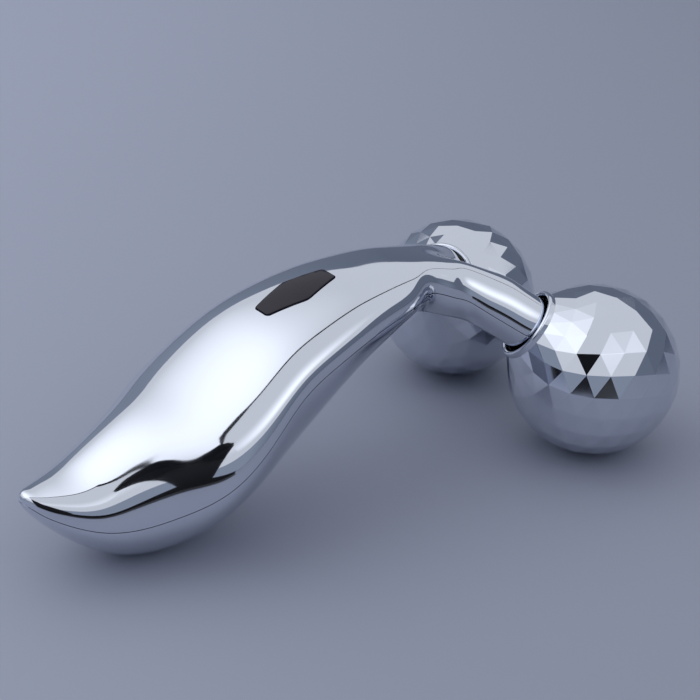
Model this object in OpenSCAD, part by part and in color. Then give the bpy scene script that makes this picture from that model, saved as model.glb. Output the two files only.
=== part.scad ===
// Facial toning roller: a Y-shaped two-shell handle with a light window on
// top, and two faceted balls that spin freely on axles in the handle's arms.
// +X points from the tail to the balls, +Z is up, and the part stands on z = 0
// on its belly and its two balls.

/* [Balls] */
// Diameter of a ball over the corners of its facets
ball_d = 40; // [38:0.5:44]
// Distance between the centres of the two balls
ball_spacing = 50; // [48:0.5:56]
// Facet corners in each ring round a ball
facet_count = 20; // [16:2:24]
// Rings of facet corners between the mouth and the far end of a ball
facet_rings = 11; // [9:1:13]
// Turn of the facet pattern about the ball's axis at rest
facet_turn = 0; // [0:1:18]
// Wall of the faceted skin, from its flats to the core
skin_wall = 2.6; // [2:0.1:3.2]
// Wall of the hollow core
core_wall = 2; // [1.4:0.1:2.4]
// Outer radius of the polished collar in the mouth of a ball
collar_r = 8.7; // [8.4:0.1:9.2]
// Wall of the collar
collar_wall = 1.15; // [0.9:0.05:1.3]
// Height of the collar's rim above the centre of the ball
collar_top = 20.7; // [20.3:0.1:21.2]
// Depth of the collar's seat in the skin
collar_sink = 4.7; // [4:0.1:5.2]

/* [Arms and axles] */
// Angle of each arm from the handle's middle plane, seen from above
splay = 33; // [30:0.5:36]
// Angle at which each arm rises from its ball to the head
rise = 37; // [36:0.5:38]
// Outer radius of an arm
arm_r = 6.6; // [6.4:0.1:6.8]
// Wall of an arm
arm_wall = 1.8; // [1.6:0.1:1.9]
// Distance from the centre of the ball to the end of the arm
arm_end = 17.6; // [17.3:0.1:18.2]
// How far an arm keeps to its axle's line before it bends into the head
arm_pull = 10; // [9:0.5:12]
// Radius of an axle
axle_r = 2.5; // [2.2:0.1:2.6]
// Distance from the centre of the ball to the axle's inner end
axle_inner = 25.5; // [24:0.5:26]
// Distance past the centre of the ball to the axle's outer end
axle_outer = 6.5; // [5.5:0.5:8]
// Depth of the groove that holds the clip
groove_depth = 0.7; // [0.5:0.05:0.9]
// Thickness of the clip
clip_t = 0.8; // [0.6:0.05:1]
// How far the clip stands out from the axle
clip_stand = 1.5; // [1:0.1:1.7]

/* [Bearings] */
// Wall of the bearing sleeve
sleeve_wall = 1.9; // [1.5:0.1:2]
// Thickness of the sleeve's flange
flange_t = 1.2; // [0.9:0.1:1.4]
// How far the flange stands out from the sleeve
flange_stand = 1; // [0.6:0.1:1.3]
// Wall of the core's hub round the sleeve
hub_wall = 1.9; // [1.5:0.1:2.4]
// Wall of the socket that holds the hub's far end
socket_wall = 1.6; // [1.2:0.1:2]
// Distance from the centre of the ball to the seat of the flange
flange_seat = 14.2; // [13.8:0.1:14.5]
// Thickness of the thrust washer
washer_t = 0.8; // [0.6:0.05:0.9]
// Running clearance of the sleeve on its axle
run_fit = 0.05; // [0.02:0.01:0.09]
// Gap between parts that turn past each other
turn_gap = 0.35; // [0.3:0.05:0.5]
// Clearance between parts that are fitted together and do not move
seat_gap = 0.05; // [0.02:0.01:0.1]

/* [Handle] */
// Distance from the centres of the balls back to the tip of the tail
handle_reach = 134; // [130:1:142]
// Height of the tip of the tail
tip_h = 20.6; // [20:0.1:22]
// Half of the handle's width at its widest
half_width = 22.6; // [21:0.1:23.4]
// Height of the parting line above the lowest point of the belly
belly_drop = 14.1; // [13.4:0.1:15]
// Height of the top above the parting line over the belly
belly_rise = 15; // [13.5:0.1:16]
// Height of the parting line in the head
head_h = 43.6; // [43:0.1:44.2]
// Height of the head's top above its parting line
head_rise = 7.5; // [7.2:0.1:8]
// Depth of the head below its parting line
head_drop = 6.9; // [6.6:0.1:7.6]
// Half of the width of the neck, just behind the arms
neck_half = 12.6; // [11.8:0.1:13.2]
// Wall of both shells
wall = 2; // [1.6:0.1:2.2]
// Squareness of the upper shell's cross section
top_power = 2.3; // [2.1:0.05:2.5]
// Squareness of the lower shell's cross section
belly_power = 1.7; // [1.6:0.05:1.9]
// Width of the seal between the shells
seal_w = 0.7; // [0.5:0.05:0.8]
// Thickness of the seal between the shells
seal_t = 0.8; // [0.6:0.05:1]

/* [Window] */
// Distance from the ball centres back to the middle of the window
window_s = 66.5; // [65:0.5:68]
// Length of the window along the handle
window_len = 18.2; // [16:0.2:19]
// Half width of the window at its widest
window_mid = 4.95; // [4.4:0.05:5.2]
// Half width of the window at its ends
window_end = 2.35; // [2:0.05:2.6]
// Thickness of the window under its crown
window_t = 2; // [1.7:0.1:2.3]
// Gap round the window
window_gap = 0.25; // [0.2:0.05:0.35]
// Width of the ledge that carries the window
ledge_w = 0.9; // [0.7:0.05:1]
// Thickness of the gasket under the window
gasket_t = 0.3; // [0.2:0.05:0.4]
// Air gap between the gasket and the solar cell
cell_air = 0.4; // [0.3:0.05:0.6]
// Thickness of the solar cell
cell_t = 0.8; // [0.6:0.05:1]
// Thickness of the board that carries the solar cell
board_t = 0.8; // [0.6:0.05:1]
// Thickness of the pocket's floor under the board
floor_t = 2.2; // [2:0.1:2.6]
// Wall of the pocket
pocket_wall = 1.2; // [1:0.1:1.4]

/* [Yoke, weight and screws] */
// Half width of the yoke's tongue
tongue_half = 4.4; // [4:0.1:4.5]
// Thickness of the yoke's tongue
tongue_t = 3.2; // [2.6:0.1:3.6]
// Distance from the ball centres back to the end of the tongue
tongue_s = 54; // [53:0.5:55]
// Radius of a screw's shank
screw_r = 1; // [0.8:0.05:1.1]
// Radius of a screw's head
screw_head_r = 1.9; // [1.7:0.05:2]
// Height of a screw's head
screw_head_t = 1.2; // [1:0.05:1.4]
// Length of thread in its post
screw_bite = 6; // [5:0.2:7]
// Radius of a screw post
post_r = 2.4; // [2.2:0.1:2.8]
// Distance from the tip of the tail forward to the middle of the weight
weight_s = 30; // [28:0.5:32]
// Length of the weight
weight_len = 34; // [28:0.5:36]
// Height of the weight's top above the lowest point of the belly
weight_top = 11; // [10:0.2:12]
// Distance between the two screws of the weight
weight_pitch = 18; // [15:0.5:20]
// Thickness of the tags on the lead ends
tag_t = 0.5; // [0.4:0.05:0.6]
// Radius of a tag's ring
tag_r = 2.2; // [2.1:0.05:2.4]
// Radius of a lead over its insulation
lead_r = 0.6; // [0.5:0.05:0.7]

/* [Hidden] */

// ---------------------------------------------------------------- ball frame
// Each ball has its own frame: origin at the ball's centre, +Z along its axle
// towards the arm. ax_x, ax_y and ax_z are the directions of that frame.
ball_r = ball_d / 2;
mouth_tuck = 0.6;
mouth_angle = asin((collar_r - mouth_tuck) / ball_r);
far_angle = 180 - mouth_angle;
ring_step = (far_angle - mouth_angle) / (facet_rings - 1);
cap_angle = (far_angle + 180) / 2;
facet_pitch = 360 / facet_count;

ax_x = [sin(rise) * cos(splay), -sin(rise) * sin(splay), cos(rise)];
ax_y = [sin(splay), cos(splay), 0];
ax_z = [-cos(rise) * cos(splay), cos(rise) * sin(splay), sin(rise)];

function polar(r, tilt, turn) = r * [sin(tilt) * cos(turn), sin(tilt) * sin(turn), cos(tilt)];
function corner(k, i) =
    polar(ball_r, mouth_angle + k * ring_step, facet_turn + facet_pitch * (i + (k % 2) / 2));
cap_turn = facet_turn + facet_pitch * (0.5 + ((facet_rings - 1) % 2) / 2);
corners = concat(
    [for (k = [0 : facet_rings - 1]) for (i = [0 : facet_count - 1]) corner(k, i)],
    [for (m = [0 : facet_count / 2 - 1]) polar(ball_r, cap_angle, cap_turn + 2 * m * facet_pitch)]);
ball_low = min([for (c = corners) c.x * ax_x.z + c.y * ax_y.z + c.z * ax_z.z]);
ball_front = max([for (c = corners) c.x * ax_x.x + c.y * ax_y.x + c.z * ax_z.x]);

// distance from the ball's centre to its flats
flat_normal = cross(corner(4, 1) - corner(4, 0), corner(5, 0) - corner(4, 0));
flat_r = abs(corner(4, 0) * flat_normal) / norm(flat_normal);
core_r = flat_r - skin_wall;

ball_x = (handle_reach - ball_front) / 2;
ball_z = -ball_low;

// a point of the right arm's axis, d from the ball's centre
function axis_point(d) = [ball_x, -ball_spacing / 2, ball_z] + d * ax_z;

// ------------------------------------------------------------- handle curves
// Every curve runs over s, the distance behind the centres of the balls.
horn = 4;      // stations measured from the tip of the tail
flank = 12;
belly = 24;
swell = 39;
shoulder_s = 60;  // stations measured from the balls
waist_share = 0.514;  // how far the waist lies from the shoulder to the swell
waist_s = shoulder_s + waist_share * (handle_reach - swell - shoulder_s);
neck_s = 42;
root_s = 35;
nose_s = 26.5;
climb = head_h - belly_drop;
swell_seam = belly_drop + 0.265 * climb;
swell_lift = 3.6;  // height of the belly's underside at the swell

seam_curve = [[nose_s, head_h - 0.5], [root_s, head_h], [neck_s, head_h],
    [shoulder_s, belly_drop + 0.91 * climb], [waist_s, belly_drop + 0.7 * climb],
    [handle_reach - swell, swell_seam], [handle_reach - belly, belly_drop],
    [handle_reach - flank, belly_drop], [handle_reach - horn, tip_h - 3.1],
    [handle_reach, tip_h]];
rise_curve = [[nose_s, 3.4], [root_s, head_rise - 1], [neck_s, head_rise],
    [shoulder_s, head_rise + 1.6], [waist_s, head_rise + 2.6],
    [handle_reach - swell, belly_rise - 1.8], [handle_reach - belly, belly_rise],
    [handle_reach - flank, 0.61 * belly_rise], [handle_reach - horn, 0.31 * belly_rise],
    [handle_reach, 1.6]];
drop_curve = [[nose_s, 3.2], [root_s, head_drop - 1.7], [neck_s, head_drop],
    [shoulder_s, 15], [waist_s, 23.2], [handle_reach - swell, swell_seam - swell_lift],
    [handle_reach - belly, belly_drop], [handle_reach - flank, 0.575 * belly_drop],
    [handle_reach - horn, 0.25 * belly_drop], [handle_reach, 1.1]];
half_curve = [[nose_s, 2.5], [root_s, neck_half - 3.4], [neck_s, neck_half],
    [shoulder_s, 0.755 * half_width], [waist_s, 0.895 * half_width],
    [handle_reach - swell, half_width], [handle_reach - belly, 0.69 * half_width],
    [handle_reach - flank, 0.485 * half_width], [handle_reach - horn, 0.24 * half_width],
    [handle_reach, 1.4]];

// smooth curve through the points of c, at s
function slope_at(c, i) = let (a = max(i - 1, 0), b = min(i + 1, len(c) - 1))
    (c[b][1] - c[a][1]) / (c[b][0] - c[a][0]);
function span_of(c, s, i = 0) = (i >= len(c) - 2 || s < c[i + 1][0]) ? i : span_of(c, s, i + 1);
function along(c, s) = let (i = span_of(c, s), h = c[i + 1][0] - c[i][0], t = (s - c[i][0]) / h,
    m0 = slope_at(c, i) * h, m1 = slope_at(c, i + 1) * h)
    (2 * t * t * t - 3 * t * t + 1) * c[i][1] + (t * t * t - 2 * t * t + t) * m0
    + (3 * t * t - 2 * t * t * t) * c[i + 1][1] + (t * t * t - t * t) * m1;

// centre line of an arm: it leaves along the axle, then bends into the head
root_half = 1.5;
inward = 3;
crook_s = 26;      // where the bend is drawn to, behind the balls
crook_rise = 1.5;
bury_s = 49;       // where the arm ends, inside the head
bury_rise = 0.4;
bend = [axis_point(arm_end), axis_point(arm_end + arm_pull),
    [ball_x - crook_s, inward, head_h + crook_rise],
    [ball_x - bury_s, -root_half, head_h + bury_rise]];
function bezier(p, t) = pow(1 - t, 3) * p[0] + 3 * t * pow(1 - t, 2) * p[1]
    + 3 * t * t * (1 - t) * p[2] + t * t * t * p[3];
function bezier_dir(p, t) = let (v = pow(1 - t, 2) * (p[1] - p[0])
    + 2 * t * (1 - t) * (p[2] - p[1]) + t * t * (p[3] - p[2])) v / norm(v);

// height of the parting surface: along the handle it follows the seam curve,
// and out along each arm it follows the arm's centre line
blend = 1.2;
clear_from = 30;
function run_of(s, y) = s * cos(splay) + (ball_spacing / 2 - abs(y)) * sin(splay);
arm_curve = concat([[0, ball_z]],
    [for (i = [0 : 10]) let (q = bezier(bend, i / 10)) [run_of(ball_x - q.x, q.y), q.z]]);
arm_curve_end = arm_curve[len(arm_curve) - 1][0];
function arm_fall(s, y) = let (run = run_of(s, y))
    along(arm_curve, min(max(run, 0), arm_curve_end)) + 0.02 * pow(max(run - clear_from, 0), 2);
function seam_z(s, y) = let (a = along(seam_curve, s), b = arm_fall(s, y), low = min(a, b))
    low - blend * ln(exp((low - a) / blend) + exp((low - b) / blend));
function top_z(s) = seam_z(s, 0) + along(rise_curve, s);

// ------------------------------------------------------------------- solids
side_count = 28;
step_count = 36;
inset_tail = 6;

// one closed cross section of the handle, all of it inset by g; no corner of
// it lies on the parting surface, which passes through the middle of a side
side_turn = 180 / side_count;
function handle_ring(s, g) = [for (j = [0 : side_count - 1])
    let (u = side_turn * (2 * j + 1), c = cos(u) / cos(side_turn), n = sin(u) / cos(side_turn),
        p = 2 / (n >= 0 ? top_power : belly_power),
        h = max((n >= 0 ? along(rise_curve, s) : along(drop_curve, s)) - g, 0.3))
    [ball_x - s, sign(c) * pow(abs(c), p) * max(along(half_curve, s) - g, 0.3),
     seam_z(s, 0) + sign(n) * pow(abs(n), p) * h]];

// a closed skin over rings of equal length, in order
module skin_over(rings) {
    n = len(rings[0]);
    m = len(rings);
    polyhedron(
        points = [for (r = rings) for (q = r) q],
        faces = concat([[for (j = [0 : n - 1]) n - 1 - j]],
            [for (i = [0 : m - 2]) for (j = [0 : n - 1]) let (k = (j + 1) % n)
                [i * n + j, i * n + k, (i + 1) * n + j]],
            [for (i = [0 : m - 2]) for (j = [0 : n - 1]) let (k = (j + 1) % n)
                [i * n + k, (i + 1) * n + k, (i + 1) * n + j]],
            [[for (j = [0 : n - 1]) (m - 1) * n + j]]),
        convexity = 6);
}

module handle_skin(g) {
    near = nose_s + g;
    far = g > 0 ? handle_reach - inset_tail - g : handle_reach;
    skin_over([for (i = [0 : step_count]) handle_ring(near + (far - near) * i / step_count, g)]);
}

// a round section about dir, with u and v across it
function side_of(dir) = let (c = cross([0, 0, 1], dir)) c / norm(c);
function ring_about(centre, dir, r, n) = let (u = side_of(dir), v = cross(u, dir))
    [for (j = [0 : n - 1]) let (a = 180 * (2 * j + 1) / n) centre + r * (cos(a) * u + sin(a) * v)];

arm_sides = 28;
bore_sides = 24;
bend_steps = 12;
end_step = 3.2;
// a rod along the arm, of radius r, from start to part of the way into the
// head; a smaller ring divides its end face, inside the arm's bore
module rod(r, start, last, sides = arm_sides) {
    skin_over(concat([for (q = [end_step, r]) ring_about(axis_point(start), ax_z, q, sides)],
        [for (i = [1 : last]) let (t = i / bend_steps)
            ring_about(bezier(bend, t), bezier_dir(bend, t), r, sides)]));
}

module both_sides() {
    children();
    mirror([0, 1, 0]) children();
}

// rounded web in the fork, from one arm across to the other
web_r = 4.6;
web_from = 0.36;
web_to = 0.62;
web_steps = 7;
module web(g) {
    for (i = [0 : web_steps]) hull() both_sides()
        translate(bezier(bend, web_from + (web_to - web_from) * i / web_steps))
            sphere(r = web_r - g, $fn = 14);
}

// the whole outside of the handle, with everything inset by g
module body_form(g, arm_g, start) {
    handle_skin(g);
    both_sides() rod(arm_r - arm_g, start, bend_steps, g > 0 ? bore_sides : arm_sides);
    web(arm_g);
}

// everything between two heights over the parting surface
split_reach = 40;
split_ys = [-split_reach, -16, -12, -9, -6.5, -4, -2, 0, 2, 4, 6.5, 9, 12, 16, split_reach];
split_steps = 36;
module seam_slab(low, high) {
    n = len(split_ys);
    function edge(s, off) = [for (y = split_ys) [ball_x - s, y, seam_z(s, y) + off]];
    first = 6;
    last = handle_reach + 4;
    skin_over([for (i = [0 : split_steps]) let (s = first + (last - first) * i / split_steps,
        a = edge(s, high), b = edge(s, low))
        concat([for (j = [0 : n - 1]) a[n - 1 - j]], b)]);
}
far_up = 70;

// ------------------------------------------------------------- window frame
tilt_span = 4;
window_tilt = atan((top_z(window_s - tilt_span) - top_z(window_s + tilt_span)) / (2 * tilt_span));
cell_top = -window_t - gasket_t - cell_air;
board_top = cell_top - cell_t;
floor_top = board_top - board_t;
floor_low = floor_top - floor_t;
cell_inset = 0.3;
lead_hole_x = 4;
lead_fit = 0.2;

module at_window() {
    translate([ball_x - window_s, 0, top_z(window_s)]) rotate([0, -window_tilt, 0]) children();
}
function window_point(x, z) = [ball_x - window_s + x * cos(window_tilt) - z * sin(window_tilt), 0,
    top_z(window_s) + x * sin(window_tilt) + z * cos(window_tilt)];

module window_outline(grow) {
    a = window_len / 2;
    offset(delta = grow)
        polygon([[-a, -window_end], [0, -window_mid], [a, -window_end],
            [a, window_end], [0, window_mid], [-a, window_end]]);
}
module window_slab(grow, low, high) {
    translate([0, 0, low]) linear_extrude(high - low) window_outline(grow);
}

// ------------------------------------------------------- places of fastenings
tongue_mid = head_h - 1.6;
tongue_low = tongue_mid - tongue_t / 2;
tongue_top = tongue_mid + tongue_t / 2;
yoke_screw_s = [neck_s + 3, tongue_s - 3.4];
yoke_bite = 2.6;
weight_at = handle_reach - weight_s;
weight_screw_s = [weight_at - weight_pitch / 2, weight_at + weight_pitch / 2];
weight_web = 1.6;
weight_gap = 0.3;
post_fit = 0.2;
shank_fit = 0.1;
head_sink = 0.1;
post_root = 0.8;

module screw(bite, grip) {
    translate([0, 0, grip]) cylinder(r = screw_head_r, h = screw_head_t, $fn = 32);
    translate([0, 0, -bite]) cylinder(r = screw_r, h = bite + grip, $fn = 24);
}
module post(low, high, bite) {
    difference() {
        translate([0, 0, low]) cylinder(r = post_r, h = high - low, $fn = 24);
        translate([0, 0, high - bite - 0.5]) cylinder(r = screw_r + shank_fit, h = bite + 1, $fn = 24);
    }
}
module at_s(s, z) {
    translate([ball_x - s, 0, z]) children();
}

// --------------------------------------------------------------- the handle
module hollow() {
    body_form(wall, arm_wall, arm_end - 1);
}

// upper half of the handle: the skin, the window's opening and its pocket
module upper_shell() {
    color("silver") difference() {
        union() {
            intersection() {
                difference() {
                    body_form(0, 0, arm_end);
                    hollow();
                }
                seam_slab(0, far_up);
            }
            intersection() {
                at_window() window_slab(pocket_wall - ledge_w, floor_low, -wall / 2);
                body_form(wall / 2, arm_wall / 2, arm_end);
            }
        }
        at_window() {
            window_slab(window_gap, -window_t - gasket_t, wall * 2);
            window_slab(-ledge_w, floor_top, wall);
            translate([0, 0, floor_top - screw_head_t - head_sink])
                cylinder(r = screw_head_r + shank_fit, h = wall * 2, $fn = 32);
            translate([0, 0, floor_low - 1]) cylinder(r = screw_r + shank_fit, h = floor_t + 2, $fn = 24);
            for (x = [-lead_hole_x, lead_hole_x])
                translate([x, 0, floor_low - 1]) cylinder(r = lead_r + lead_fit, h = floor_t + 2, $fn = 24);
        }
        seal_groove();
    }
}

// lower half of the handle, with the posts for the yoke, the weight and the
// screw that holds the two halves together
module lower_shell() {
    color("silver") difference() {
        union() {
            difference() {
                body_form(0, 0, arm_end);
                hollow();
                seam_slab(0, far_up);
            }
            intersection() {
                union() {
                    for (s = yoke_screw_s) at_s(s, 0) post(0, tongue_low, yoke_bite);
                    for (s = weight_screw_s) at_s(s, 0) post(0, weight_top - weight_web, screw_bite / 2);
                    at_window() post(-far_up, floor_low, screw_bite);
                }
                body_form(post_root, post_root, arm_end);
            }
        }
        seal_groove();
    }
}

// the groove for the seal, half in each shell
module seal_groove() {
    seal_band(seal_w / 2 + seat_gap, seal_t / 2 + seat_gap);
}
module seal_band(w, t) {
    intersection() {
        seam_slab(-t, t);
        difference() {
            body_form(wall / 2 - w, arm_wall / 2 - w, arm_end - seat_gap);
            body_form(wall / 2 + w, arm_wall / 2 + w, arm_end - 1);
        }
    }
}
module seam_seal() {
    color("dimgray") seal_band(seal_w / 2, seal_t / 2);
}

// ---------------------------------------------------------------- the window
// smoked cover, domed like the shell round it
module solar_window() {
    color("#2f2c33") intersection() {
        at_window() window_slab(0, -window_t, wall);
        body_form(0, 0, arm_end);
    }
}
module window_gasket() {
    color("black") at_window() difference() {
        window_slab(-cell_inset, -window_t - gasket_t, -window_t);
        window_slab(-ledge_w, -window_t - 1, -window_t + 1);
    }
}
module solar_cell() {
    color("#1b1b2a") at_window() window_slab(-ledge_w - cell_inset - 0.3, board_top, cell_top);
}
module cell_board() {
    color("darkgreen") at_window() window_slab(-ledge_w - cell_inset, floor_top, board_top);
}

// ------------------------------------------------------- leads and their tags
lead_sides = 8;
lead_steps = 18;
// a lead from its board pad, straight down through the floor and on to its tag
module lead(p) {
    skin_over([for (i = [0 : lead_steps]) let (t = i / lead_steps)
        ring_about(bezier(p, t), bezier_dir(p, t), lead_r, lead_sides)]);
}
tag_reach = 2.4;
tag_play = 0.15;
plus_tag_at = [ball_x - yoke_screw_s[1] - tag_r - tag_reach, 0, tongue_top + lead_r];
minus_tag_at = [ball_x - weight_screw_s[0] + tag_r + tag_reach, 0, weight_top + lead_r];
plus_drop = 5;     // how far a lead is drawn down from the pocket
minus_drop = 14;
plus_pull = [2.8, 0, 0.7];
minus_start = window_point(-lead_hole_x, floor_top);
minus_pull = [(minus_start.x - minus_tag_at.x) / 2, 0, 0];
plus_lead_path = [window_point(lead_hole_x, floor_top), window_point(lead_hole_x, floor_low - plus_drop),
    plus_tag_at - plus_pull, plus_tag_at - [tag_play, 0, 0]];
minus_lead_path = [minus_start, window_point(-lead_hole_x, floor_low - minus_drop),
    minus_tag_at + minus_pull, minus_tag_at + [tag_play, 0, 0]];

module plus_lead() {
    color("red") lead(plus_lead_path);
}
module minus_lead() {
    color("#202020") lead(minus_lead_path);
}

// ring tag under a screw's head, with a barrel that is crimped on the lead
module tag(turn) {
    rotate([0, 0, turn]) difference() {
        union() {
            cylinder(r = tag_r, h = tag_t, $fn = 32);
            translate([tag_r - 1, -lead_r, 0]) cube([tag_reach + 1, 2 * lead_r, tag_t]);
            translate([tag_r + tag_reach - 1.4, 0, lead_r])
                rotate([0, 90, 0]) cylinder(r = lead_r, h = 1.4, $fn = 24);
        }
        translate([0, 0, -1]) cylinder(r = screw_r + shank_fit, h = tag_t + 2, $fn = 24);
    }
}
module plus_tag() {
    color("gold") at_s(yoke_screw_s[1], tongue_top) tag(180);
}
module minus_tag() {
    color("gold") at_s(weight_screw_s[0], weight_top) tag(0);
}

// ------------------------------------------------------ yoke, weight, screws
leg_gap = 0.35;
leg_last = 10;
seal_start = flange_seat + flange_t + washer_t + turn_gap;
leg_start = arm_end + 0.8;
yoke_front = 38;

module axle_yoke() {
    color("lightsteelblue") difference() {
        union() {
            both_sides() rod(arm_r - arm_wall - leg_gap, leg_start, leg_last);
            translate([ball_x - tongue_s, -tongue_half, tongue_low])
                cube([tongue_s - yoke_front, 2 * tongue_half, tongue_t]);
        }
        both_sides() at_ball() translate([0, 0, leg_start - 1])
            cylinder(r = axle_r + seat_gap / 2, h = axle_inner - leg_start + 1, $fn = 64);
        for (s = yoke_screw_s) at_s(s, tongue_low - 1)
            cylinder(r = screw_r + shank_fit, h = tongue_t + 2, $fn = 24);
    }
}

module yoke_screws() {
    color("gainsboro") {
        at_s(yoke_screw_s[0], tongue_low) screw(yoke_bite, tongue_t);
        at_s(yoke_screw_s[1], tongue_low) screw(yoke_bite, tongue_t + tag_t);
    }
}
module shell_screw() {
    color("gainsboro") at_window() translate([0, 0, floor_low])
        screw(screw_bite, floor_t - screw_head_t - head_sink);
}

// steel block that gives the handle its heft, cast to the belly's inside
module tail_weight() {
    color("slategray") difference() {
        intersection() {
            translate([ball_x - weight_at - weight_len / 2, -half_width, 0])
                cube([weight_len, 2 * half_width, weight_top]);
            body_form(wall + weight_gap, arm_wall + weight_gap, arm_end);
        }
        for (s = weight_screw_s) at_s(s, -1) {
            cylinder(r = post_r + post_fit, h = weight_top - weight_web + 1, $fn = 24);
            cylinder(r = screw_r + shank_fit, h = weight_top + 2, $fn = 24);
        }
    }
}
module weight_screws() {
    color("gainsboro") {
        at_s(weight_screw_s[0], weight_top - weight_web) screw(screw_bite / 2, weight_web + tag_t);
        at_s(weight_screw_s[1], weight_top - weight_web) screw(screw_bite / 2, weight_web);
    }
}

// -------------------------------------------------- pieces on the ball's axis
module at_ball() {
    translate([ball_x, -ball_spacing / 2, ball_z]) rotate([0, 0, -splay])
        rotate([0, rise - 90, 0]) children();
}
module right_side() at_ball() children();
module left_side() mirror([0, 1, 0]) at_ball() children();

// a tube about the axis, from low to high
module tube(outer, inner, low, high) {
    difference() {
        translate([0, 0, low]) cylinder(r = outer, h = high - low, $fn = 64);
        translate([0, 0, low - 1]) cylinder(r = inner, h = high - low + 2, $fn = 64);
    }
}

sleeve_r = axle_r + run_fit + sleeve_wall;
hub_in = sleeve_r + seat_gap;
hub_r = hub_in + hub_wall;
hub_low = -4;
sleeve_low = hub_low;
groove_high = sleeve_low - turn_gap;
groove_play = 0.1;
flange_r = sleeve_r + flange_stand;
washer_r = sleeve_r + 0.5;
socket_in = hub_r + seat_gap;
socket_top = -2;
mouth_bore = collar_r - collar_wall - 0.5;
collar_low = collar_top - collar_sink;

module axle() {
    difference() {
        translate([0, 0, -axle_outer]) cylinder(r = axle_r, h = axle_outer + axle_inner, $fn = 64);
        tube(axle_r + 1, axle_r - groove_depth, groove_high - clip_t - groove_play, groove_high);
    }
}
module clip() {
    difference() {
        tube(axle_r + clip_stand, axle_r - groove_depth + groove_play / 2,
            groove_high - clip_t - groove_play / 2, groove_high - groove_play / 2);
        translate([0, -axle_r + groove_depth + 0.5, groove_high - clip_t - 1])
            cube([2 * axle_r, 2 * (axle_r - groove_depth - 0.5), clip_t + 2]);
    }
}
module arm_seal() {
    tube(arm_r - arm_wall - 0.1, axle_r + seat_gap, seal_start, leg_start);
}

// faceted skin of a ball, with the mouth that takes the collar
module ball_form() {
    n = facet_count;
    last = facet_rings - 1;
    cap = n * facet_rings;
    function at_ring(k, i) = k * n + i % n;
    polyhedron(points = corners, faces = concat(
        [[for (i = [0 : n - 1]) n - 1 - i]],
        [for (k = [0 : last - 1]) for (i = [0 : n - 1])
            [at_ring(k, i), at_ring(k, i + 1), at_ring(k + 1, i + k % 2)]],
        [for (k = [0 : last - 1]) for (i = [0 : n - 1])
            [at_ring(k + 1, i + k % 2), at_ring(k, i + 1), at_ring(k + 1, i + k % 2 + 1)]],
        [for (m = [0 : n / 2 - 1]) [at_ring(last, 2 * m), at_ring(last, 2 * m + 1), cap + m]],
        [for (m = [0 : n / 2 - 1]) [cap + m, at_ring(last, 2 * m + 1), cap + (m + 1) % (n / 2)]],
        [for (m = [0 : n / 2 - 1])
            [at_ring(last, 2 * m + 1), at_ring(last, 2 * m + 2), cap + (m + 1) % (n / 2)]],
        [[for (m = [0 : n / 2 - 1]) cap + m]]));
}
module ball_skin() {
    difference() {
        ball_form();
        intersection() {
            sphere(r = core_r + seat_gap, $fn = 96);
            translate([0, 0, -ball_r + flange_seat / 2 - ball_r / 2])
                cylinder(r = ball_r, h = ball_r * 1.5 + flange_seat / 2, $fn = 64);
        }
        translate([0, 0, flange_seat - 1]) cylinder(r = mouth_bore, h = ball_r, $fn = 64);
        translate([0, 0, collar_low]) cylinder(r = collar_r + seat_gap, h = ball_r, $fn = 64);
    }
}
// polished ring pressed into the mouth, with a rounded rim
module collar() {
    mid = collar_r - collar_wall / 2;
    rotate_extrude($fn = 96) {
        translate([collar_r - collar_wall, collar_low])
            square([collar_wall, collar_top - collar_wall / 2 - collar_low]);
        translate([mid, collar_top - collar_wall / 2]) circle(r = collar_wall / 2, $fn = 32);
    }
}
// front half of the core, with the hub that carries the sleeve
module core_front() {
    difference() {
        union() {
            difference() {
                sphere(r = core_r, $fn = 96);
                sphere(r = core_r - core_wall, $fn = 96);
                translate([0, 0, -2 * ball_r]) cylinder(r = 2 * ball_r, h = 2 * ball_r, $fn = 64);
            }
            translate([0, 0, hub_low]) cylinder(r = hub_r, h = flange_seat - hub_low, $fn = 64);
        }
        translate([0, 0, flange_seat]) cylinder(r = ball_r, h = ball_r, $fn = 64);
        translate([0, 0, -ball_r]) cylinder(r = hub_in, h = 2 * ball_r, $fn = 64);
    }
}
// rear half of the core, with the socket for the hub's end
module core_rear() {
    difference() {
        union() {
            difference() {
                sphere(r = core_r, $fn = 96);
                sphere(r = core_r - core_wall, $fn = 96);
                cylinder(r = 2 * ball_r, h = 2 * ball_r, $fn = 64);
            }
            intersection() {
                sphere(r = core_r - core_wall / 2, $fn = 96);
                translate([0, 0, -ball_r])
                    cylinder(r = socket_in + socket_wall, h = ball_r + socket_top, $fn = 64);
            }
        }
        intersection() {
            translate([0, 0, -ball_r]) cylinder(r = socket_in, h = 2 * ball_r, $fn = 64);
            sphere(r = core_r - core_wall, $fn = 96);
        }
    }
}
module bearing() {
    tube(sleeve_r, axle_r + run_fit, sleeve_low, flange_seat + flange_t);
    tube(flange_r, axle_r + run_fit, flange_seat, flange_seat + flange_t);
}
module washer() {
    tube(washer_r, axle_r + run_fit, flange_seat + flange_t, flange_seat + flange_t + washer_t);
}

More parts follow.
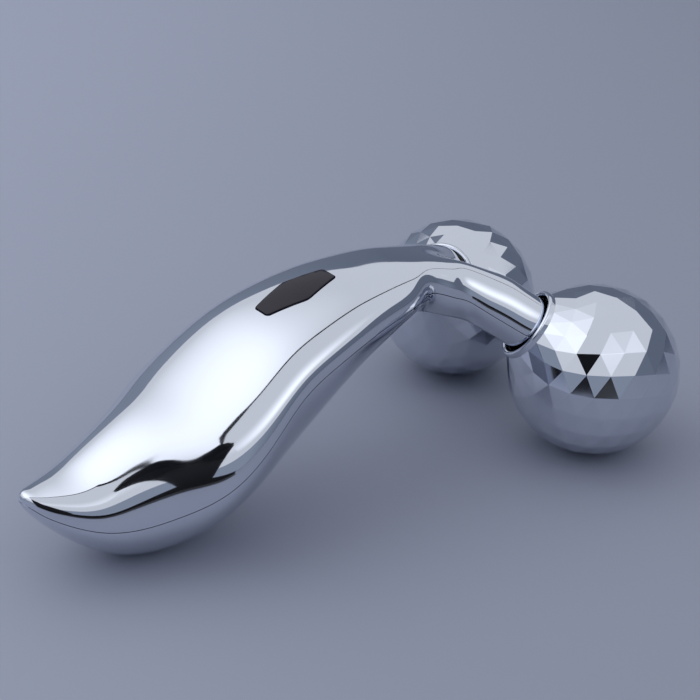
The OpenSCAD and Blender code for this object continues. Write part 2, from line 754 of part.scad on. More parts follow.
module left_axle() { color("lightgray") left_side() axle(); }
module right_axle() { color("lightgray") right_side() axle(); }
module left_axle_clip() { color("steelblue") left_side() clip(); }
module right_axle_clip() { color("steelblue") right_side() clip(); }
module left_arm_seal() { color("black") left_side() arm_seal(); }
module right_arm_seal() { color("black") right_side() arm_seal(); }
module left_ball_skin() { color("silver") left_side() ball_skin(); }
module right_ball_skin() { color("silver") right_side() ball_skin(); }
module left_core_front() { color("whitesmoke") left_side() core_front(); }
module right_core_front() { color("whitesmoke") right_side() core_front(); }
module left_core_rear() { color("white") left_side() core_rear(); }
module right_core_rear() { color("white") right_side() core_rear(); }
module left_collar() { color("silver") left_side() collar(); }
module right_collar() { color("silver") right_side() collar(); }
module left_bearing() { color("ivory") left_side() bearing(); }
module right_bearing() { color("ivory") right_side() bearing(); }
module left_washer() { color("darkgray") left_side() washer(); }
module right_washer() { color("darkgray") right_side() washer(); }

upper_shell();
lower_shell();
seam_seal();
solar_window();
window_gasket();
solar_cell();
cell_board();
plus_lead();
minus_lead();
plus_tag();
minus_tag();
axle_yoke();
yoke_screws();
shell_screw();
tail_weight();
weight_screws();
left_axle();
right_axle();
left_axle_clip();
right_axle_clip();
left_arm_seal();
right_arm_seal();
left_ball_skin();
right_ball_skin();
left_core_front();
right_core_front();
left_core_rear();
right_core_rear();
left_collar();
right_collar();
left_bearing();
right_bearing();
left_washer();
right_washer();
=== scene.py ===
import math
import bmesh
import bpy
from mathutils import Matrix, Vector


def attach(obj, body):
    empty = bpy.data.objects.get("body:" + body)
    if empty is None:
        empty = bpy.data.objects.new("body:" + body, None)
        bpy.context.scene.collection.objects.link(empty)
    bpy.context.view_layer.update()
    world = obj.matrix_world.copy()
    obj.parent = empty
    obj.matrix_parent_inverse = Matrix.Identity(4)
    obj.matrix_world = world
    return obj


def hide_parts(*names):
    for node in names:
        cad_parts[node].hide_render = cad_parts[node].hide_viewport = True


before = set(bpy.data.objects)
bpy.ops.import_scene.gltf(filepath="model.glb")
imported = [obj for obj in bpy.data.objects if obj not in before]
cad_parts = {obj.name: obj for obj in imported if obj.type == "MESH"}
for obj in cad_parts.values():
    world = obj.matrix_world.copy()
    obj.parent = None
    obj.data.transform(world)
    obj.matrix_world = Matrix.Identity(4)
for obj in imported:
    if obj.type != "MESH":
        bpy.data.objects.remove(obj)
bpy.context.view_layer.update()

mm = 0.001

# The camera stands low on the right of the tail, a little under 0.4 m away,
# and looks along the handle to the balls.
camera_data = bpy.data.cameras.new("camera")
camera_data.lens = 82.29
camera_data.sensor_width = 36
camera_data.clip_start = 0.02
camera = bpy.data.objects.new("camera", camera_data)
bpy.context.scene.collection.objects.link(camera)
camera.location = (-0.18443, -0.25959, 0.19041)
camera.rotation_euler = (math.radians(63.50), 0, math.radians(-36.14))
bpy.context.scene.camera = camera
bpy.context.scene.view_settings.view_transform = "Standard"

# The handle is a hollow Y of thin plated shells. Its smooth skin is drawn out
# ring by ring from the tip of the tail to the fork, on one side of the middle
# plane, and mirrored; every ring has a corner on the parting line.
ball_x = 57.05
ball_z = 19.98
ball_y = 25

# against the distance behind the balls: the seam's height, the rise above it,
# the drop below it and the half width
seam_line = [(26.5, 42.8), (35, 43.6), (42, 43.6), (60, 40.95), (78, 34.75), (95, 21.9),
             (110, 14.1), (122, 14.1), (130, 17.5), (134, 20.6)]
rise_line = [(26.5, 3.4), (35, 6.5), (42, 7.42), (60, 9.1), (78, 10.1), (95, 13.2), (110, 15),
             (122, 9.15), (130, 4.65), (134, 1.6)]
drop_line = [(26.5, 3.2), (35, 5.2), (42, 6.9), (60, 15), (78, 23.2), (95, 18.3), (110, 14.1),
             (122, 8.1), (130, 3.5), (134, 1.1)]
half_line = [(26.5, 2.5), (35, 9.2), (42, 12.6), (60, 17.05), (78, 20.2), (95, 22.6),
             (110, 15.6), (122, 10.95), (130, 5.4), (134, 1.4)]

# how square the sections are above and below the seam
top_power = 2.3
belly_power = 1.7

# each arm is a bent round bar from its end at the ball to its root in the neck
arm_r = 6.6
arm_end = 17.6
arm_pull = 10
arm_head = Vector((ball_x - 26, -3, 45.1))
arm_root = Vector((ball_x - 49, 1.5, 44.0))

# the left axle points back, inwards and up from its ball
splay = math.radians(33)
rise_angle = math.radians(37)
axle = Vector((-math.cos(rise_angle) * math.cos(splay), -math.cos(rise_angle) * math.sin(splay),
               math.sin(rise_angle)))

ring_corners = 16
corner_turn = math.tau / ring_corners
bend_step = 0.01

# corners that lie closer than a hair are one
hair = 0.01 * mm


def along(line, s):
    """Height of a smooth curve through the points of a line, at s behind the balls."""
    i = 0
    while i < len(line) - 2 and s >= line[i + 1][0]:
        i += 1

    def slope(k):
        a, b = max(k - 1, 0), min(k + 1, len(line) - 1)
        return (line[b][1] - line[a][1]) / (line[b][0] - line[a][0])
    span = line[i + 1][0] - line[i][0]
    t = (s - line[i][0]) / span
    return ((2 * t ** 3 - 3 * t ** 2 + 1) * line[i][1] + (t ** 3 - 2 * t ** 2 + t) * slope(i) * span
            + (3 * t ** 2 - 2 * t ** 3) * line[i + 1][1] + (t ** 3 - t ** 2) * slope(i + 1) * span)


def handle_corner(s, turn):
    """Corner of the handle's section at s, at an angle from the parting line."""
    c, n = math.cos(turn), math.sin(turn)
    p = 2 / (top_power if n > 0 else belly_power)
    height = along(rise_line if n > 0 else drop_line, s)
    return Vector((ball_x - s, max(c, 0) ** p * along(half_line, s),
                   along(seam_line, s) + math.copysign(abs(n) ** p * height, n)))


def fork_corner(turn, s, lean, sides):
    """Corner of a section of the fork's root, given as distance from the middle
    plane and height, on a plane that leans back from the middle plane."""
    out, height = sides[round((math.pi / 2 - turn) / corner_turn)]
    return Vector((ball_x - s - out * math.sin(lean), out * math.cos(lean), height))


def bend_point(t):
    """Point of the left arm's middle line, from 0 at its end to 1 inside the neck."""
    start = Vector((ball_x, ball_y, ball_z)) + axle * arm_end
    pull = start + axle * arm_pull
    u = 1 - t
    return u ** 3 * start + 3 * t * u * u * pull + 3 * t * t * u * arm_head + t ** 3 * arm_root


def arm_corner(turn, t):
    """Corner of a round section of the arm, t along its bend."""
    way = (bend_point(t + bend_step) - bend_point(t - bend_step)).normalized()
    out = Vector((0, 0, 1)).cross(way).normalized()
    out = out if out.y > 0 else -out
    up = out.cross(way)
    up = up if up.z > 0 else -up
    return bend_point(t) + arm_r * (math.cos(turn) * out + math.sin(turn) * up)


bpy.ops.object.select_all(action="DESELECT")
bpy.ops.mesh.primitive_circle_add(vertices=ring_corners, radius=1, rotation=(0, math.pi / 2, 0))
handle = bpy.context.object
handle.name = "handle_skin"
bpy.ops.object.transform_apply(rotation=True)
bpy.ops.object.mode_set(mode="EDIT")
bpy.ops.mesh.select_all(action="DESELECT")
skin = bmesh.from_edit_mesh(handle.data)
angle = skin.verts.layers.float.new("angle")
for v in skin.verts:
    v[angle] = math.atan2(v.co.z, v.co.y)
    v.select = v.co.y < -hair
skin.select_flush(True)
bmesh.update_edit_mesh(handle.data)
bpy.ops.mesh.delete(type="VERT")
bpy.ops.mesh.select_all(action="SELECT")


def lay_ring(place):
    """Lays the corners of the ring that is selected at their places."""
    work = bmesh.from_edit_mesh(handle.data)
    layer = work.verts.layers.float["angle"]
    for v in work.verts:
        if v.select:
            v.co = place(v[layer]) * mm
            if abs(v.co.y) < hair:
                v.co.y = 0
    bmesh.update_edit_mesh(handle.data)


def draw_out(place):
    """Extrudes the selected ring and lays the new one."""
    bpy.ops.mesh.extrude_edges_move()
    lay_ring(place)


stations = [132.8, 130.6, 127, 121.5, 114.5, 106.5, 98, 88.5, 78.5, 68.5, 58.5, 50, 42.5]
lay_ring(lambda turn: handle_corner(stations[0], turn))
for s in stations[1:]:
    draw_out(lambda turn: handle_corner(s, turn))

# Over the fork's root each section has its distance behind the balls, its lean
# and its corners, from the top of the head round the side to the underside.
fork_rings = [
    (35.5, 5, [(0, 50.0), (4.5, 49.8), (7.9, 48.6), (9.5, 46.4), (9.9, 43.5),
               (9.1, 40.8), (7.2, 38.3), (4.1, 36.8), (0, 36.4)]),
    (28, 16, [(0, 47.7), (5.0, 48.3), (8.8, 47.2), (10.9, 44.6), (11.4, 41.5),
              (10.6, 38.3), (8.3, 35.8), (4.8, 34.5), (0, 34.5)]),
    (20.8, 30, [(0, 43.6), (6.6, 46.6), (10.3, 45.8), (12.7, 43.2), (13.5, 39.9),
                (12.6, 36.3), (10.1, 33.7), (6.6, 32.7), (0, 32.9)]),
]
for s, lean, sides in fork_rings:
    draw_out(lambda turn: fork_corner(turn, s, math.radians(lean), sides))

# The front of the fork is a rounded web between the arms; with it the open
# section becomes the closed ring from which the arm is drawn out.
web = [(17.3, 41.1), (15.5, 37.5), (16.9, 34.2)]
arm_places = [0.36, 0.22, 0.1, 0.02]
skin = bmesh.from_edit_mesh(handle.data)
angle = skin.verts.layers.float["angle"]
ring = sorted((v for v in skin.verts if v.select), key=lambda v: -v[angle])
corners = [skin.verts.new(((ball_x - s) * mm, 0, z * mm)) for s, z in web]
chain = [ring[0]] + corners + [ring[-1]]
for a, b in zip(chain, chain[1:]):
    skin.edges.new((a, b)).select = True
for v, turn in zip(ring, range(120, -121, -30)):
    v[angle] = math.radians(turn)
for v, turn in zip(corners, range(150, 211, 30)):
    v[angle] = math.radians(turn)
    v.select = True
skin.select_flush(True)
bmesh.update_edit_mesh(handle.data)
for t in arm_places:
    draw_out(lambda turn: arm_corner(turn, t))

# The tip of the tail closes in a rounded point.
tip = Vector((ball_x - 133.9, 0, 20.4))
bpy.ops.mesh.select_all(action="DESELECT")
skin = bmesh.from_edit_mesh(handle.data)
low_x = min(v.co.x for v in skin.verts)
for v in skin.verts:
    v.select = v.co.x < low_x + hair
skin.select_flush(True)
bmesh.update_edit_mesh(handle.data)
draw_out(lambda turn: tip)
bpy.ops.mesh.select_all(action="SELECT")
bpy.ops.mesh.remove_doubles(threshold=hair)
bpy.ops.object.mode_set(mode="OBJECT")

mirror = handle.modifiers.new("other_side", "MIRROR")
mirror.use_axis = (False, True, False)
mirror.merge_threshold = 2 * hair
bpy.ops.object.modifier_apply(modifier="other_side")

# The cage is drawn out until its smooth skin passes through the sections.
pulls = 6
pull_share = 0.9
pole_keep = 0.72
centre = Vector((0, 0, 25)) * mm
skin = bmesh.new()
skin.from_mesh(handle.data)
bmesh.ops.recalc_face_normals(skin, faces=skin.faces)
facing = sum(f.calc_area() * f.normal.dot(f.calc_center_median() - centre) for f in skin.faces)
if facing < 0:
    bmesh.ops.reverse_faces(skin, faces=skin.faces)
wanted = [v.co.copy() for v in skin.verts]


def smooth_place(v):
    """Where the corner of a cage comes to lie on its smooth skin."""
    if v.is_boundary:
        rim = [e.other_vert(v).co for e in v.link_edges if e.is_boundary]
        return (4 * v.co + rim[0] + rim[1]) / 6
    n = len(v.link_edges)
    beside = [e.other_vert(v) for e in v.link_edges]
    near = sum((c.co for c in beside), Vector())
    if all(len(f.verts) == 4 for f in v.link_faces):
        across = (c.co for f in v.link_faces for c in f.verts if c != v and c not in beside)
        return (n * n * v.co + 4 * near + sum(across, Vector())) / (n * (n + 5))
    return v.co * pole_keep + near / n * (1 - pole_keep)


for pull in range(pulls):
    places = [smooth_place(v) for v in skin.verts]
    for v, place, want in zip(skin.verts, places, wanted):
        v.co += (want - place) * pull_share
for f in skin.faces:
    f.smooth = True
skin.to_mesh(handle.data)
skin.free()

# Upper and lower faces are told apart along the parting line, and each shell
# becomes a piece of its own.
handle.data.materials.append(bpy.data.materials.new("upper"))
handle.data.materials.append(bpy.data.materials.new("lower"))
layer = handle.data.attributes["angle"].data
for polygon in handle.data.polygons:
    lift = sum(math.sin(layer[i].value) for i in polygon.vertices)
    polygon.material_index = 0 if lift > 0 else 1
smooth = handle.modifiers.new("smooth", "SUBSURF")
smooth.levels = smooth.render_levels = 3
bpy.ops.object.modifier_apply(modifier="smooth")
bpy.ops.object.mode_set(mode="EDIT")
bpy.ops.mesh.select_all(action="SELECT")
bpy.ops.mesh.separate(type="MATERIAL")
bpy.ops.object.mode_set(mode="OBJECT")
halves = [o for o in bpy.context.selected_objects if o.type == "MESH"]
halves.sort(key=lambda o: -sum(v.co.z for v in o.data.vertices) / len(o.data.vertices))
upper, lower = halves
upper.name, lower.name = "upper_cover", "lower_cover"

# Each shell is given its wall, inwards from the skin, and the two lips on the
# seam are drawn apart for the seal and rounded.
wall = 1.4
seam_gap = 0.16
lip_r = 0.12
lip_angle = math.radians(50)


def hold(piece):
    """Selects one piece alone, ready to be worked on."""
    bpy.ops.object.select_all(action="DESELECT")
    piece.select_set(True)
    bpy.context.view_layer.objects.active = piece


for shell, side in ((upper, 1), (lower, -1)):
    shell.data.materials.clear()
    edge = bmesh.new()
    edge.from_mesh(shell.data)
    for v in edge.verts:
        if v.is_boundary:
            v.co.z += side * seam_gap / 2 * mm
    edge.to_mesh(shell.data)
    edge.free()
    hold(shell)
    solid = shell.modifiers.new("wall", "SOLIDIFY")
    solid.thickness = wall * mm
    solid.offset = -1
    bpy.ops.object.modifier_apply(modifier="wall")
    lip = shell.modifiers.new("lip", "BEVEL")
    lip.limit_method = "ANGLE"
    lip.angle_limit = lip_angle
    lip.width = lip_r * mm
    lip.segments = 2
    bpy.ops.object.modifier_apply(modifier="lip")
    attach(shell, "handle")


# Both shells are plated in bright chrome over moulded plastic; the plating
# follows the faint unevenness of the moulding under it.
def blank(name):
    """A new finish, with its nodes and the shader that they feed."""
    made = bpy.data.materials.new(name)
    made.use_nodes = True
    return made, made.node_tree, made.node_tree.nodes["Principled BSDF"]


def mottle(tree, scale, detail):
    """A value that wanders over the object's own coordinates."""
    noise = tree.nodes.new("ShaderNodeTexNoise")
    noise.inputs["Scale"].default_value = scale
    noise.inputs["Detail"].default_value = detail
    tree.links.new(tree.nodes.new("ShaderNodeTexCoord").outputs["Object"], noise.inputs["Vector"])
    return noise.outputs["Fac"]


def between(tree, value, low, high, start=0, end=1, eased=False):
    """A value that goes from low to high while another goes from start to end."""
    spread = tree.nodes.new("ShaderNodeMapRange")
    spread.interpolation_type = "SMOOTHSTEP" if eased else "LINEAR"
    spread.inputs["From Min"].default_value = start
    spread.inputs["From Max"].default_value = end
    spread.inputs["To Min"].default_value = low
    spread.inputs["To Max"].default_value = high
    tree.links.new(value, spread.inputs["Value"])
    return spread.outputs["Result"]


chrome, tree, shader = blank("bright_chrome")
shader.inputs["Metallic"].default_value = 1
shader.inputs["Base Color"].default_value = (0.70, 0.73, 0.80, 1)
haze = between(tree, mottle(tree, 55, 4), low=0.025, high=0.075, start=0.3, end=0.75)
tree.links.new(haze, shader.inputs["Roughness"])
uneven = tree.nodes.new("ShaderNodeBump")
uneven.inputs["Strength"].default_value = 0.25
uneven.inputs["Distance"].default_value = 0.00012
tree.links.new(mottle(tree, 70, 1), uneven.inputs["Height"])
tree.links.new(uneven.outputs["Normal"], shader.inputs["Normal"])
for shell, node in ((upper, "upper_shell"), (lower, "lower_shell")):
    shell.data.materials.append(chrome)
    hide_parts(node)


# A black rubber seal lies in the joint between the shells, and more of the
# same rubber closes the arms' ends and lines the window's edge.
def dress(material, *names):
    """Gives nodes of the frame their finish."""
    for name in names:
        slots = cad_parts[name].data.materials
        slots.clear()
        slots.append(material)


rubber, tree, shader = blank("black_rubber")
shader.inputs["Base Color"].default_value = (0.012, 0.012, 0.013, 1)
tree.links.new(between(tree, mottle(tree, 2500, 2), low=0.55, high=0.8), shader.inputs["Roughness"])
dress(rubber, "seam_seal", "left_arm_seal", "right_arm_seal", "window_gasket")


# The window is a smoked acrylic hexagon, crowned like the neck that it is let
# into, with softly rounded corners and a bevelled edge that stands a little proud.
window_x = ball_x - 66.5
window_len = 18.2

# its half width at the middle and at both ends
window_mid = 4.95
window_end = 2.35

window_gap = 0.25
window_proud = 0.3
window_rim = 0.8
pane_corner = 0.7
pane_reach = 4
opening_corner = 0.9
opening_reach = 5
tilt_span = 4
ray_height = 100


def neck_top(x):
    """Height of the upper shell over a point of the middle plane."""
    place = upper.ray_cast(Vector((x * mm, hair, ray_height * mm)), Vector((0, 0, -1)))[1]
    return place.z / mm


window_tilt = math.atan2(neck_top(window_x + tilt_span) - neck_top(window_x - tilt_span), 2 * tilt_span)
window_frame = (Matrix.Translation(Vector((window_x, 0, neck_top(window_x))) * mm)
                @ Matrix.Rotation(-window_tilt, 4, "Y"))


def hexagon_block(name, grow, reach, corner):
    """A closed block with the window's outline, drawn out by grow, that reaches
    as far above the neck as below it."""
    bpy.ops.object.select_all(action="DESELECT")
    bpy.ops.mesh.primitive_circle_add(vertices=6, radius=1, fill_type="NGON")
    block = bpy.context.object
    block.name = name
    a = window_len / 2
    outline = [(-a, -window_end), (0, -window_mid), (a, -window_end),
               (a, window_end), (0, window_mid), (-a, window_end)]
    slant = math.hypot(a, window_mid - window_end)
    for v, (x, y) in zip(block.data.vertices, outline):
        out = Vector((math.copysign(grow, x) if x else 0, math.copysign(grow * slant / a, y)))
        v.co = Vector((x + out.x, y + out.y, -reach)) * mm
    bpy.ops.object.mode_set(mode="EDIT")
    bpy.ops.mesh.select_all(action="SELECT")
    bpy.ops.mesh.normals_make_consistent(inside=False)
    bpy.ops.mesh.bevel(offset=corner * mm, segments=4, affect="VERTICES")
    bpy.ops.mesh.select_all(action="SELECT")
    bpy.ops.mesh.extrude_region_move(TRANSFORM_OT_translate={"value": (0, 0, 2 * reach * mm)})
    bpy.ops.mesh.select_all(action="SELECT")
    bpy.ops.mesh.normals_make_consistent(inside=False)
    bpy.ops.object.mode_set(mode="OBJECT")
    block.data.transform(window_frame)
    return block


def cut(piece, block, way):
    """Cuts a piece with a block, which is then thrown away."""
    hold(piece)
    step = piece.modifiers.new("cut", "BOOLEAN")
    step.operation = way
    step.solver = "EXACT"
    step.object = block
    bpy.ops.object.modifier_apply(modifier="cut")
    bpy.data.objects.remove(block)


# The pane is cut out of a copy of the shell and raised, and the opening for it
# is cut in the shell; then both shells are shaded smooth up to their lips.
window = upper.copy()
window.data = upper.data.copy()
bpy.context.scene.collection.objects.link(window)
window.name = "window_pane"
cut(window, hexagon_block("pane_block", 0, pane_reach, pane_corner), "INTERSECT")
window.data.transform(Matrix.Translation(window_frame.to_3x3() @ Vector((0, 0, window_proud * mm))))
cut(upper, hexagon_block("opening_block", window_gap, opening_reach, opening_corner), "DIFFERENCE")
for shell in (upper, lower):
    hold(shell)
    bpy.ops.object.shade_smooth_by_angle(angle=lip_angle)
    even = shell.modifiers.new("even", "WEIGHTED_NORMAL")
    even.keep_sharp = True
    bpy.ops.object.modifier_apply(modifier="even")

hold(window)
rim = window.modifiers.new("rim", "BEVEL")
rim.limit_method = "ANGLE"
rim.angle_limit = math.radians(60)
rim.width = window_rim * mm
rim.segments = 4
bpy.ops.object.modifier_apply(modifier="rim")
bpy.ops.object.shade_smooth_by_angle(angle=math.radians(40))


def tint(tree, value, dark, light):
    """A colour that goes from dark to light with a value."""
    mix = tree.nodes.new("ShaderNodeMix")
    mix.data_type = "RGBA"
    mix.inputs["A"].default_value = (*dark, 1)
    mix.inputs["B"].default_value = (*light, 1)
    tree.links.new(value, mix.inputs["Factor"])
    return mix.outputs["Result"]


smoke, tree, shader = blank("smoked_acrylic")
shader.inputs["IOR"].default_value = 1.4
shader.inputs["Specular IOR Level"].default_value = 0.35
shader.inputs["Roughness"].default_value = 0.12
cloud = tint(tree, mottle(tree, 160, 3), (0.012, 0.009, 0.016), (0.020, 0.016, 0.025))
tree.links.new(cloud, shader.inputs["Base Color"])
window.data.materials.clear()
window.data.materials.append(smoke)
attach(window, "handle")
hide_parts("solar_window")


# Under the window a dark amorphous cell lies on a small green board, in a
# pocket of the upper shell, where the smoke of the window hides both.
def finish(name, dark, light, scale, rough, metallic=0):
    """A finish whose tone wanders between two colours and its gloss between two values."""
    made, tree, shader = blank(name)
    shader.inputs["Metallic"].default_value = metallic
    speck = mottle(tree, scale, 4)
    tree.links.new(tint(tree, speck, dark, light), shader.inputs["Base Color"])
    tree.links.new(between(tree, speck, *rough), shader.inputs["Roughness"])
    return made


dress(finish("cell_silicon", (0.008, 0.008, 0.016), (0.020, 0.018, 0.032), 300, (0.08, 0.2)),
      "solar_cell")
dress(finish("circuit_board", (0.010, 0.060, 0.026), (0.020, 0.090, 0.040), 700, (0.35, 0.5)),
      "cell_board")

# Two insulated leads run from the board, one to the yoke and one to the
# weight, and end in brass ring tags that are crimped on.
dress(finish("red_lead", (0.30, 0.012, 0.010), (0.42, 0.025, 0.018), 400, (0.35, 0.5)),
      "plus_lead")
dress(finish("black_lead", (0.010, 0.010, 0.011), (0.022, 0.022, 0.024), 400, (0.35, 0.5)),
      "minus_lead")
dress(finish("brass_tag", (0.62, 0.42, 0.16), (0.76, 0.56, 0.25), 900, (0.2, 0.35), 1),
      "plus_tag", "minus_tag")

# The yoke in the fork is die cast in zinc, left as cast; the weight in the
# belly is a blackened steel block. Small plated screws hold both, and one
# more holds the shells together.
dress(finish("cast_zinc", (0.32, 0.33, 0.35), (0.48, 0.49, 0.52), 600, (0.38, 0.6), 1),
      "axle_yoke")
dress(finish("black_steel", (0.09, 0.09, 0.10), (0.17, 0.17, 0.18), 500, (0.35, 0.55), 1),
      "tail_weight")
dress(finish("screw_steel", (0.48, 0.49, 0.51), (0.62, 0.63, 0.65), 1500, (0.2, 0.35), 1),
      "yoke_screws", "weight_screws", "shell_screw")

# The axles are ground steel pins pressed into the yoke, each with a groove
# for the spring clip that keeps its ball on.
dress(finish("ground_steel", (0.60, 0.60, 0.62), (0.74, 0.74, 0.76), 1800, (0.12, 0.24), 1),
      "left_axle", "right_axle")
dress(finish("spring_steel", (0.14, 0.14, 0.16), (0.24, 0.25, 0.27), 1200, (0.25, 0.4), 1),
      "left_axle_clip", "right_axle_clip")

# A ball turns on a white sleeve and a buff washer, inside a pale moulded core
# in two halves that backs the skin.
dress(finish("core_plastic", (0.50, 0.50, 0.48), (0.60, 0.60, 0.57), 250, (0.4, 0.55)),
      "left_core_front", "left_core_rear", "right_core_front", "right_core_rear")
dress(finish("bearing_plastic", (0.78, 0.77, 0.72), (0.86, 0.85, 0.80), 350, (0.3, 0.42)),
      "left_bearing", "right_bearing")
dress(finish("washer_plastic", (0.66, 0.62, 0.54), (0.74, 0.70, 0.62), 350, (0.35, 0.5)),
      "left_washer", "right_washer")

# Each ball is a hollow skin moulded in flat facets, with all their corners on
# one sphere, and plated like the handle. The arm goes in at its wide mouth.
ball_r = 20
facet_count = 20
facet_rings = 11
facet_pitch = math.tau / facet_count
first_ring_r = 8.1
mouth_angle = math.asin(first_ring_r / ball_r)
ring_step = (math.pi - 2 * mouth_angle) / (facet_rings - 1)
mouth_r = 8.75
mouth_z = 19.2
skin_wall = 1.5
facet_edge = 0.04

# the right ball's own frame: Z along its axle towards the arm
ball_frame = Matrix.Translation(Vector((ball_x, -ball_y, ball_z)) * mm) @ Matrix((
    (math.sin(rise_angle) * math.cos(splay), math.sin(splay), axle.x),
    (-math.sin(rise_angle) * math.sin(splay), math.cos(splay), -axle.y),
    (math.cos(rise_angle), 0, axle.z))).to_4x4()


def on_ball(tilt, turn):
    """Point of the ball's sphere, tilted from the axle and turned round it."""
    return ball_r * Vector((math.sin(tilt) * math.cos(turn), math.sin(tilt) * math.sin(turn),
                            math.cos(tilt)))


def on_ring(r, z, turn):
    """Point of a ring round the axle, at a height along it."""
    return Vector((r * math.cos(turn), r * math.sin(turn), z))


def start_ring(name, count):
    """An open ring of numbered corners, ready to be drawn out."""
    bpy.ops.object.select_all(action="DESELECT")
    bpy.ops.mesh.primitive_circle_add(vertices=count, radius=1)
    piece = bpy.context.object
    piece.name = name
    bpy.ops.object.mode_set(mode="EDIT")
    bpy.ops.mesh.select_all(action="SELECT")
    work = bmesh.from_edit_mesh(piece.data)
    number = work.verts.layers.int.new("number")
    for v in work.verts:
        v[number] = round(math.atan2(v.co.y, v.co.x) * count / math.tau) % count
    bmesh.update_edit_mesh(piece.data)
    return piece


def lay_numbered(piece, place):
    """Lays the selected ring's corners, in millimetres, by their numbers."""
    work = bmesh.from_edit_mesh(piece.data)
    number = work.verts.layers.int["number"]
    for v in work.verts:
        if v.select:
            v.co = place(v[number]) * mm
    bmesh.update_edit_mesh(piece.data)


def both_balls(piece, name, node):
    """Places a piece on the right ball and its mirror image on the left one."""
    piece.data.transform(ball_frame)
    piece.name = "right_" + name
    twin = piece.copy()
    twin.data = piece.data.copy()
    twin.name = "left_" + name
    bpy.context.scene.collection.objects.link(twin)
    twin.data.transform(Matrix.Scale(-1, 4, Vector((0, 1, 0))))
    twin.data.flip_normals()
    for side, half in (("right", piece), ("left", twin)):
        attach(half, side + "_ball")
        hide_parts(side + "_" + node)


# The rings of corners are staggered; past the last one every two corners meet
# in one, and a flat field closes the ball.
ball = start_ring("facets", facet_count)
lay_numbered(ball, lambda i: on_ring(mouth_r, mouth_z, i * facet_pitch))
for k in range(1, facet_rings):
    bpy.ops.mesh.extrude_edges_move()
    lay_numbered(ball, lambda i: on_ball(mouth_angle + k * ring_step, facet_pitch * (i + (k % 2) / 2)))
bpy.ops.mesh.extrude_edges_move()
lay_numbered(ball, lambda i: on_ball(math.pi - mouth_angle / 2, facet_pitch * (i // 2 * 2 + 0.5)))
bpy.ops.mesh.remove_doubles(threshold=hair)
bpy.ops.mesh.edge_face_add()
bpy.ops.mesh.select_all(action="SELECT")
bpy.ops.mesh.quads_convert_to_tris(quad_method="SHORTEST_DIAGONAL")
bpy.ops.mesh.normals_make_consistent(inside=False)
bpy.ops.object.mode_set(mode="OBJECT")
solid = ball.modifiers.new("wall", "SOLIDIFY")
solid.thickness = skin_wall * mm
solid.offset = -1
bpy.ops.object.modifier_apply(modifier="wall")
edges = ball.modifiers.new("edges", "BEVEL")
edges.limit_method = "ANGLE"
edges.angle_limit = math.radians(3)
edges.width = facet_edge * mm
edges.segments = 1
bpy.ops.object.modifier_apply(modifier="edges")
bpy.ops.object.shade_flat()
ball.data.materials.append(chrome)
both_balls(ball, "ball_facets", "ball_skin")

# The collar is a ring turned from brass, chromed and pressed into the ball's
# mouth. Its rim is rounded, and the arm's end stands clear inside it.
collar_r = 8.7
collar_wall = 1.15
collar_low = 16
collar_top = 20.7
collar_sides = 96
rim_r = collar_wall / 2
rim_z = collar_top - rim_r
rim_steps = 10
rim_turns = [math.pi * k / rim_steps for k in range(rim_steps + 1)]
side_z = (collar_low + rim_z) / 2


def turned(name, profile, sides):
    """A ring turned on a lathe from a closed profile of radii and heights."""
    ring = start_ring(name, sides)
    for k, (r, z) in enumerate(profile + profile[:1]):
        if k:
            bpy.ops.mesh.extrude_edges_move()
        lay_numbered(ring, lambda i: on_ring(r, z, math.tau * i / sides))
    bpy.ops.mesh.select_all(action="SELECT")
    bpy.ops.mesh.remove_doubles(threshold=hair / 10)
    bpy.ops.mesh.normals_make_consistent(inside=False)
    bpy.ops.object.mode_set(mode="OBJECT")
    bpy.ops.object.shade_smooth_by_angle(angle=math.radians(40))
    return ring


outside = [(collar_r, collar_low), (collar_r, side_z)]
rounded = [(collar_r - rim_r + rim_r * math.cos(turn), rim_z + rim_r * math.sin(turn))
           for turn in rim_turns]
inside = [(collar_r - collar_wall, side_z), (collar_r - collar_wall, collar_low)]
collar = turned("ring", outside + rounded + inside, collar_sides)
collar.data.materials.append(chrome)
both_balls(collar, "collar_ring", "collar")

# The floor is a matt board that is only there to show the object. Its grey is
# painted paler away to the left of the tail, a painted fall-off of light across it.
bpy.ops.object.select_all(action="DESELECT")
bpy.ops.mesh.primitive_plane_add(size=8, location=(0, 0, 0))
floor = bpy.context.object
floor.name = "floor"
board, tree, shader = blank("floor_board")
shader.inputs["Roughness"].default_value = 0.6
across = tree.nodes.new("ShaderNodeVectorMath")
across.operation = "DOT_PRODUCT"
across.inputs[1].default_value = (-0.63, 0.78, 0)
tree.links.new(tree.nodes.new("ShaderNodeTexCoord").outputs["Object"], across.inputs[0])
# painted light: the board's colour grows paler along one direction, standing in for light falling off
painted_light_falloff = between(tree, across.outputs["Value"], low=0, high=1, start=-0.16, end=0.3, eased=True)
painted_falloff_colour = tint(tree, painted_light_falloff, (0.285, 0.307, 0.385), (0.39, 0.42, 0.525))
tree.links.new(painted_falloff_colour, shader.inputs["Base Color"])
floor.data.materials.append(board)

# The room is dim slate on the side of the balls and paler behind the tail.
world = bpy.data.worlds.new("room")
bpy.context.scene.world = world
world.use_nodes = True
tree = world.node_tree
parts = tree.nodes.new("ShaderNodeSeparateXYZ")
tree.links.new(tree.nodes.new("ShaderNodeTexCoord").outputs["Generated"], parts.inputs["Vector"])
to_balls = between(tree, parts.outputs["X"], low=0, high=1, start=-0.1, end=0.6)
room = tint(tree, to_balls, (0.27, 0.31, 0.39), (0.135, 0.16, 0.215))
tree.links.new(room, tree.nodes["Background"].inputs["Color"])


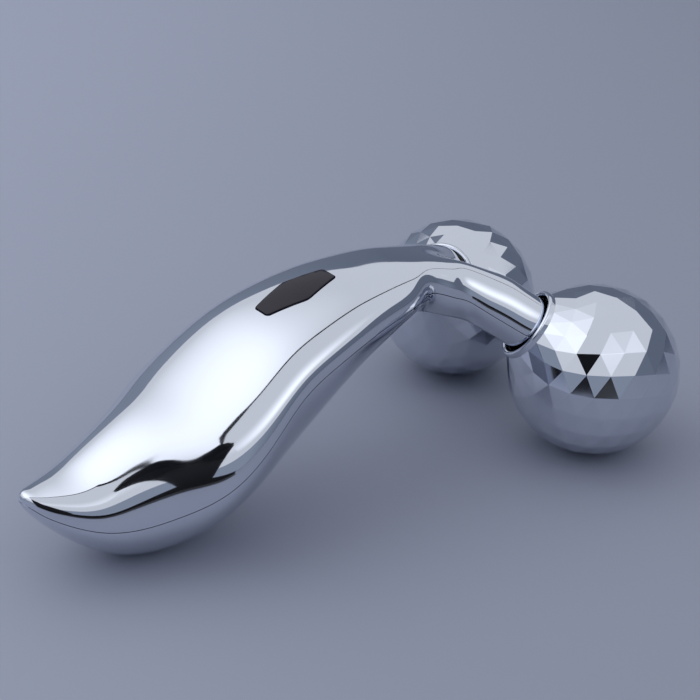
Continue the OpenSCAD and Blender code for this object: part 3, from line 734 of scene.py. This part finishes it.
# Two soft panels light the object, one over its back and one over its near
# side, with a black cloth over the gap between them. Four dark cards beside
# the tail are what its chrome mirrors as a dark leaf.
def card(name, corners, material):
    """A flat card through corners given in metres, unseen by the camera."""
    flat = bpy.data.meshes.new(name)
    flat.from_pydata(corners, [], [range(len(corners))])
    flat.materials.append(material)
    held = bpy.data.objects.new(name, flat)
    bpy.context.scene.collection.objects.link(held)
    held.visible_camera = held.visible_shadow = False


def glow(name, middle, spread, strong, weak):
    """Light that is strong in the middle of a panel and weak at spread from it."""
    made = bpy.data.materials.new(name)
    made.use_nodes = True
    tree = made.node_tree
    tree.nodes.clear()
    place = tree.nodes.new("ShaderNodeMapping")
    place.vector_type = "TEXTURE"
    place.inputs["Location"].default_value = middle
    place.inputs["Scale"].default_value = spread
    tree.links.new(tree.nodes.new("ShaderNodeTexCoord").outputs["Object"], place.inputs["Vector"])
    away = tree.nodes.new("ShaderNodeVectorMath")
    away.operation = "LENGTH"
    tree.links.new(place.outputs["Vector"], away.inputs[0])
    lamp = tree.nodes.new("ShaderNodeEmission")
    lamp.inputs["Color"].default_value = (0.91, 0.94, 1, 1)
    strength = between(tree, away.outputs["Value"], low=strong, high=weak, eased=True)
    tree.links.new(strength, lamp.inputs["Strength"])
    out = tree.nodes.new("ShaderNodeOutputMaterial")
    tree.links.new(lamp.outputs["Emission"], out.inputs["Surface"])
    return made


def level(z, corners):
    """Corners at one height."""
    return [(x, y, z) for x, y in corners]


panel_z = 0.8
cloth_z = 0.83
panel_weak = 0.78
meeting = [(-0.95, -1.9), (-0.85, -1.69), (-0.58, -1.16), (-0.55, -0.80), (-0.50, -0.45)]
back_outline = ([(1.7, -0.02), (1.7, 0.55), (0.85, 0.9), (0.55, 1.5), (0.1, 2.0), (-0.3, 2.9),
                 (-1.8, 2.9), (-1.8, -1.9)] + meeting
                + [(-0.51, -0.32), (-0.44, -0.16), (-0.36, -0.02)])
near_outline = ([(-0.34, -0.045), (-0.42, -0.17), (-0.495, -0.33)] + meeting[::-1]
                + [(1.7, -1.9), (1.7, -0.05)])
cloth_outline = [(-1.3, -1.75), (1.7, -1.75), (1.7, 0.1), (-1.3, 0.1)]
card("back_panel", level(panel_z, back_outline),
     glow("back_glow", (-0.5, 0.5, panel_z), (0.9, 1.7, 1), 1.6, panel_weak))
card("near_panel", level(panel_z, near_outline),
     glow("near_glow", (0.05, -0.88, panel_z), (1, 0.5, 1), 1.5, panel_weak))
cloth = finish("black_cloth", (0.004, 0.004, 0.005), (0.008, 0.007, 0.009), 20, (0.8, 0.9))
card("black_cloth", level(cloth_z, cloth_outline), cloth)

left_foot = (-0.76, -0.53)
mid_foot = (-0.58, -0.73)
right_foot = (-0.27, -0.89)
card_top = 0.58
tip_z = 0.79
floor_gap = 0.002
card("dark_card", [(*left_foot, 0), (*mid_foot, 0), (*mid_foot, card_top), (*left_foot, card_top)],
     cloth)
card("tip_card", [(*left_foot, card_top), (*mid_foot, card_top), (-0.50, -0.60, tip_z),
                  (-0.475, -0.50, tip_z), (-0.48, -0.36, tip_z), (-0.505, -0.30, tip_z),
                  (-0.62, -0.38, tip_z), (-0.84, -0.58, 0.78)], cloth)
card("low_card", [(*mid_foot, 0), (*right_foot, 0), (*right_foot, 0.05), (*mid_foot, 0.11)], cloth)
card("foot_card", level(floor_gap, [(-0.73, -0.58), (-0.24, -0.20), (-0.10, -0.30), right_foot]), cloth)
